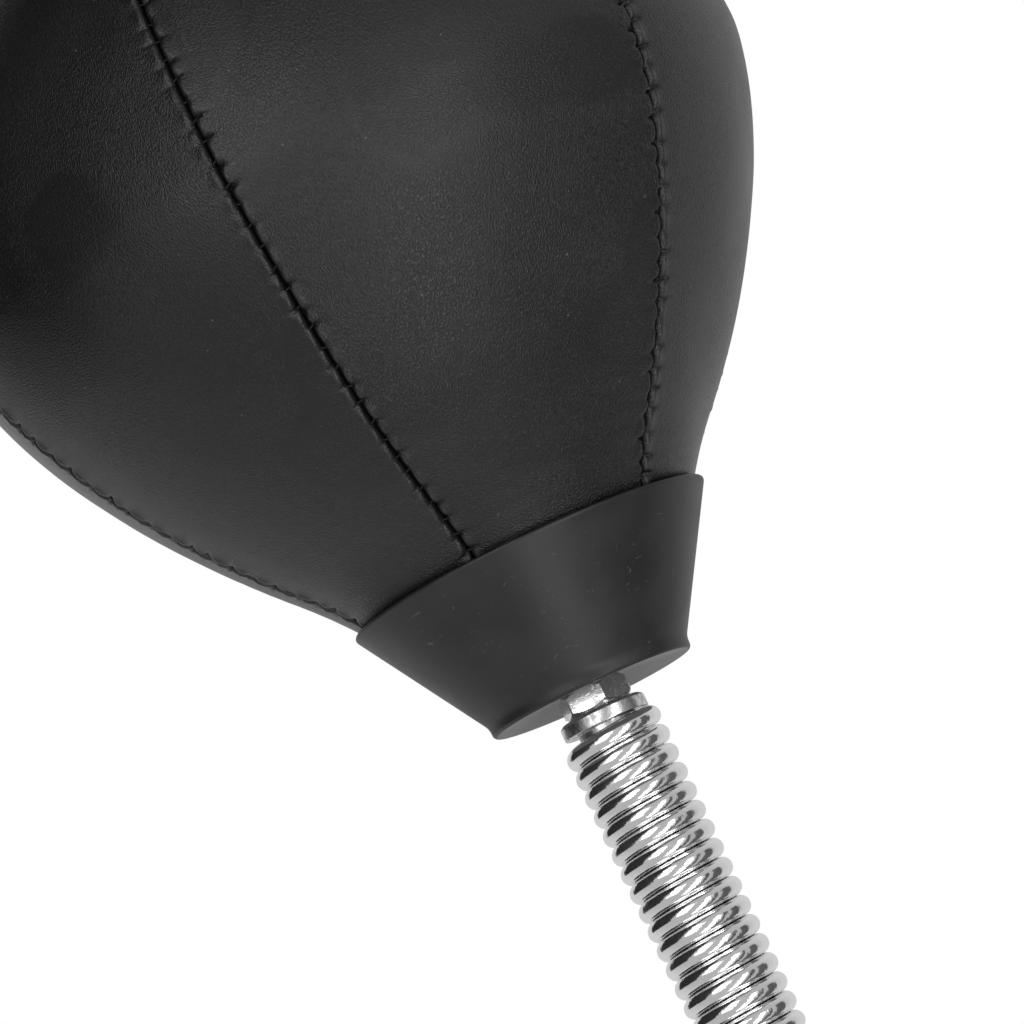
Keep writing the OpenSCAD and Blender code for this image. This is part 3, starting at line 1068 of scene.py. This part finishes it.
def makePatch():
    outer, inner = patchHigh.x, ball["crownHole"]
    thick, lift, ring = patch["thick"], patch["lift"], patch["stitchRing"]
    rim, lip = crownHeight(outer), crownHeight(inner)
    radii = np.linspace(outer - 0.9 * mm, inner + 0.5 * mm, patch["rings"])
    sunk = patch["channel"] * hump(radii - ring, patch["channelWidth"])
    edge = [(outer, rim + 0.4 * mm), (outer - 0.05 * mm, rim + 1.0 * mm), (outer - 0.35 * mm, rim + thick)]
    top = zip(radii, crownHeight(radii) + thick + lift - sunk)
    hole = [(inner, lip + thick - 0.3 * mm), (inner, lip + lift)]
    under = zip(radii[::-1], crownHeight(radii[::-1]) + lift)
    section = [*edge, *top, *hole, *under, (outer, rim + lift)]
    piece = toObject("crown_disc", turned(section, 180, closed=True), "leather")
    points = pointsOf(piece.data)
    radius, turn = polar(points)
    onTop = points[:, 2] > crownHeight(radius) + 0.8 * mm
    pull = hump(radius - ring, patch["dimpleWidth"]) * (0.5 + 0.5 * np.cos(turn * patch["stitches"]))
    points[:, 2] -= patch["dimple"] * pull * onTop
    putPoints(piece.data, leaned(points))
    layMap(piece, points[:, :2] + 0.9)
    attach(piece, "head")
    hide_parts("crown_patch")
    bm = bmesh.new()
    stitch = stitchShape(patch["stitchWidth"], stitchSize["bridgeHeight"])
    height = crownHeight(ring) + thick + lift - patch["channel"] - 0.1 * mm
    tilt = Matrix.Rotation(math.asin(ring / ballRadius), 4, "Y") @ Matrix.Rotation(math.pi / 2, 4, "Z")
    for index in range(patch["stitches"]):
        round_ = Matrix.Rotation(fullTurn * (index + 0.5) / patch["stitches"], 4, "Z")
        addCopy(bm, stitch, round_ @ Matrix.Translation((ring, 0, height)) @ tilt)
    sewing = toObject("crown_stitches", bm, "thread")
    leanMesh(sewing)
    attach(sewing, "head")


valve = {
    "neck": 5.5 * mm,
    "hole": 1.0 * mm,
    "flangeRise": 6.5 * mm,
    "flangeThick": 1.5 * mm,
}


def makeValve():
    low, top, wide = valveLow.z, valveHigh.z, valveHigh.x
    neck, hole = valve["neck"], valve["hole"]
    under = low + valve["flangeRise"]
    over = under + valve["flangeThick"]
    section = [
        (hole, low + 2 * mm, 0.2), (hole + 1.4 * mm, low, 0.4), (neck, low, 1.2),
        (neck, under, 0.8), (wide, under, 0.5), (wide, over, 0.5), (neck, over, 0.8),
        (neck, top, 0.8), (3.4 * mm, top, 0.5), (2.6 * mm, top - 0.9 * mm, 0.4),
        (hole, top - 1.1 * mm, 0.3),
    ]
    piece = toObject("air_valve", turned(rounded(section), 72, closed=True), "valve_rubber")
    leanMesh(piece)
    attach(piece, "head")
    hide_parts("valve")


bladder = {
    "deep": 6.8 * mm,
    "skin": 1.0 * mm,
    "corner": 2.5 * mm,
    "rowStep": 16,
}


def makeBladder():
    # a thin skin under the leather at an even depth, with a flat floor over the cup
    deep, floor = bladder["deep"], bladderLow.z
    above = (outline["height"] + cupLow.z > floor + 2 * mm) & (outline["run"] > outline["run"][pastFloor])
    rows = np.flatnonzero(above)[::bladder["rowStep"]]
    faces = []
    for into in (0, bladder["skin"]):
        radius = outline["radius"][rows] - (deep + into) * outline["out"][rows]
        height = outline["height"][rows] - (deep + into) * outline["rise"][rows] + cupLow.z
        wall = [spot for spot in zip(radius, height) if spot[1] > floor + into + 0.6 * mm]
        faces.append([(0, floor + into), (wall[0][0] - bladder["corner"], floor + into)] + wall)
    piece = toObject("air_bladder", turned(faces[0] + faces[1][::-1], 96), "bladder_rubber")
    leanMesh(piece)
    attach(piece, "head")
    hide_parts("bladder")


makePatch()
makeValve()
makeBladder()
print("crown patch, valve and bladder placed")


cup = {
    "hole": 5.4 * mm,
    "lip": 26.2 * mm,
    "lipHeight": 3.0 * mm,
    "dish": 2.3 * mm,
    "dishFlat": 12.0 * mm,
    "floor": 6.3 * mm,
    "innerFoot": 23.77 * mm,
    "rimWall": 2.0 * mm,
    "fillet": 1.6,
}


def makeCup():
    base, top, rim, lip, hole = cupLow.z, cupHigh.z, cupHigh.x, cup["lip"], cup["hole"]
    section = [
        (hole, base + cup["dish"], 0.4), (cup["dishFlat"], base + cup["dish"], 2.5),
        (lip - 2.0 * mm, base, 0.6), (lip - 0.5 * mm, base, 0.3), (lip, base + 0.6 * mm, 0.4),
        (lip + 0.15 * mm, base + cup["lipHeight"], cup["fillet"]),
        (rim - 0.1 * mm, top - 1.0 * mm, 0.5), (rim, top - 0.5 * mm, 0.3),
        (rim - 0.4 * mm, top, 0.35), (rim - cup["rimWall"], top, 0.4),
        (cup["innerFoot"], base + cup["floor"], 2.0), (hole, base + cup["floor"], 0.4),
    ]
    piece = toObject("rubber_cup", turned(rounded(section, 6), 192, closed=True), "cup_rubber")
    piece.data.set_sharp_from_angle(angle=math.radians(50))
    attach(piece, "head")
    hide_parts("cup")


makeCup()


hardware = {
    "flats": 16 * mm,
    "chamferFrom": 7.35 * mm,
    "chamferRise": 0.75,
    "cornerWear": 0.12 * mm,
    "faceStep": 0.06 * mm,
    "bolt": 5.0 * mm,
    "bore": 5.05 * mm,
    "threadPitch": 1.5 * mm,
    "threadDepth": 0.9 * mm,
    "threadTop": -0.4 * mm,
    "flangeHeight": 3.8 * mm,
    "edgeChamfer": 1.0 * mm,
    "spigot": 7.72 * mm,
    "steps": 144,
}
hexCorner = hardware["flats"] / 2 / math.cos(math.pi / 6)


def cornerAngle(node):
    radius, angle = polar(pointsOf(frame["nodes"][node].data))
    return angle[np.argmax(radius)]


def hexRing(mesh, low, high, turn):
    # pulls the wide rows of a turned blank into a hexagon, with chamfers cut by a cone
    points = pointsOf(mesh)
    radius, angle = polar(points)
    z, sixth, apothem = points[:, 2], math.pi / 3, hardware["flats"] / 2
    wide = (radius > apothem + 0.3 * mm) & (z > low - 0.1 * mm) & (z < high + 0.1 * mm)
    side = np.floor(angle / sixth)
    share = angle / sixth - side
    share = share - 0.85 * np.sin(fullTurn * share) / fullTurn  # rows crowd towards the corners
    angle = np.where(wide, (side + share) * sixth, angle)
    flat = apothem / np.cos((share - 0.5) * sixth)
    flat = np.minimum(flat, hexCorner - hardware["cornerWear"])
    cut = (flat - hardware["chamferFrom"]) * hardware["chamferRise"]
    middle, half = (low + high) / 2, (high - low) / 2
    reach = np.abs(z - middle) / half
    height = middle + np.sign(z - middle) * (half - cut) * np.clip(reach, 0, 1)
    radius = np.where(wide, flat - np.where(reach > 0.99, hardware["faceStep"], 0), radius)
    points[:, 2] = np.where(wide, height, z)
    points[:, 0] = radius * np.cos(angle + turn)
    points[:, 1] = radius * np.sin(angle + turn)
    putPoints(mesh, points)


def hexRows(low, high):
    inset = 0.12 * mm
    return [(hexCorner, height) for height in (low, low + inset, high - inset, high)]


def threadRows(mesh, low, high, runout):
    # cuts a right-hand thread into the evenly spaced rows between two heights
    points = pointsOf(mesh)
    radius, angle = polar(points)
    z, major, margin = points[:, 2], hardware["bolt"], 1e-6
    phase = (z / hardware["threadPitch"] - angle / fullTurn) % 1
    groove = np.clip(1.25 - 2.5 * np.abs(phase - 0.5), 0, 1)
    inside = (z > low - margin) & (z < high + margin) & (np.abs(radius - major) < 0.05 * mm)
    cut = hardware["threadDepth"] * (1 - groove) * ease(0, runout, high - z)
    lead = np.clip((low + 1.0 * mm - z) / (1.0 * mm), 0, 1) * 0.9 * mm
    newRadius = np.where(inside, np.minimum(radius - cut, major - lead), radius)
    keep = np.where(radius > margin, newRadius / np.maximum(radius, margin), 1)
    points[:, :2] *= keep[:, None]
    putPoints(mesh, points)


def makeNut():
    low, high = nutLow.z, nutHigh.z
    start, bore, chamfer = hardware["chamferFrom"], hardware["bore"], 0.5 * mm
    section = [(bore, low + chamfer), (bore + chamfer, low), (start, low)] + hexRows(low, high)
    section += [(start, high), (bore + chamfer, high), (bore, high - chamfer)]
    piece = toObject("spring_nut", turned(section, hardware["steps"], closed=True), "nut_zinc")
    hexRing(piece.data, low, high, cornerAngle("hex_nut"))
    piece.data.set_sharp_from_angle(angle=math.radians(22))
    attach(piece, "head")
    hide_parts("hex_nut")


def makePlug(name, node, body, face, into):
    # into is +1 where the spigot points up, away from the flange's outer face
    low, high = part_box(node)
    length, wide = high.z - low.z, high.x
    bore, edge, spigot = hardware["bore"], hardware["edgeChamfer"], hardware["spigot"]
    flange = hardware["flangeHeight"]
    rows = [
        (bore, 0.4 * mm, 0), (bore + 0.4 * mm, 0, 0), (wide - edge, 0, 0.15),
        (wide, edge * 0.75, 0.2), (wide, flange, 0.3), (spigot, flange, 0.1),
        (spigot, length, 0.6), (bore, length, 0.3),
    ]
    section = [(radius, face + into * rise, rounding) for radius, rise, rounding in rows]
    blank = turned(rounded(section), hardware["steps"], closed=True)
    piece = toObject(name, blank, "plug_steel")
    piece.data.set_sharp_from_angle(angle=math.radians(28))
    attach(piece, body)
    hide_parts(node)


def makeStud():
    low, high, collarTop = studLow.z, studHigh.z, lowerPlugLow.z - 0.05 * mm
    start, bolt, threadTop = hardware["chamferFrom"], hardware["bolt"], hardware["threadTop"]
    tip, foot = bolt - 1 * mm, bolt + 0.1 * mm
    lowerRows = [(bolt, z) for z in np.arange(low, threadTop, hardware["threadPitch"] / 12)]
    upperRows = [(bolt, z) for z in np.linspace(collarTop + 0.4 * mm, high - 1 * mm, 20)]
    section = [(0, low), (tip, low)] + lowerRows + [(foot, 0), (start, 0)] + hexRows(0, collarTop)
    section += [(start, collarTop), (foot, collarTop)] + upperRows + [(tip, high), (0, high)]
    piece = toObject("pole_stud", turned(section, hardware["steps"]), "stud_steel")
    hexRing(piece.data, 0, collarTop, cornerAngle("lower_stud"))
    threadRows(piece.data, low, threadTop, runout=1.5 * mm)
    piece.data.set_sharp_from_angle(angle=math.radians(30))
    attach(piece, "base")
    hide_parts("lower_stud")


makeNut()
makePlug("upper_spring_plug", "upper_plug", "head", upperPlugHigh.z, -1)
makePlug("lower_spring_plug", "lower_plug", "base", lowerPlugLow.z, 1)
makeStud()
print("cup, nut, plugs and stud made")
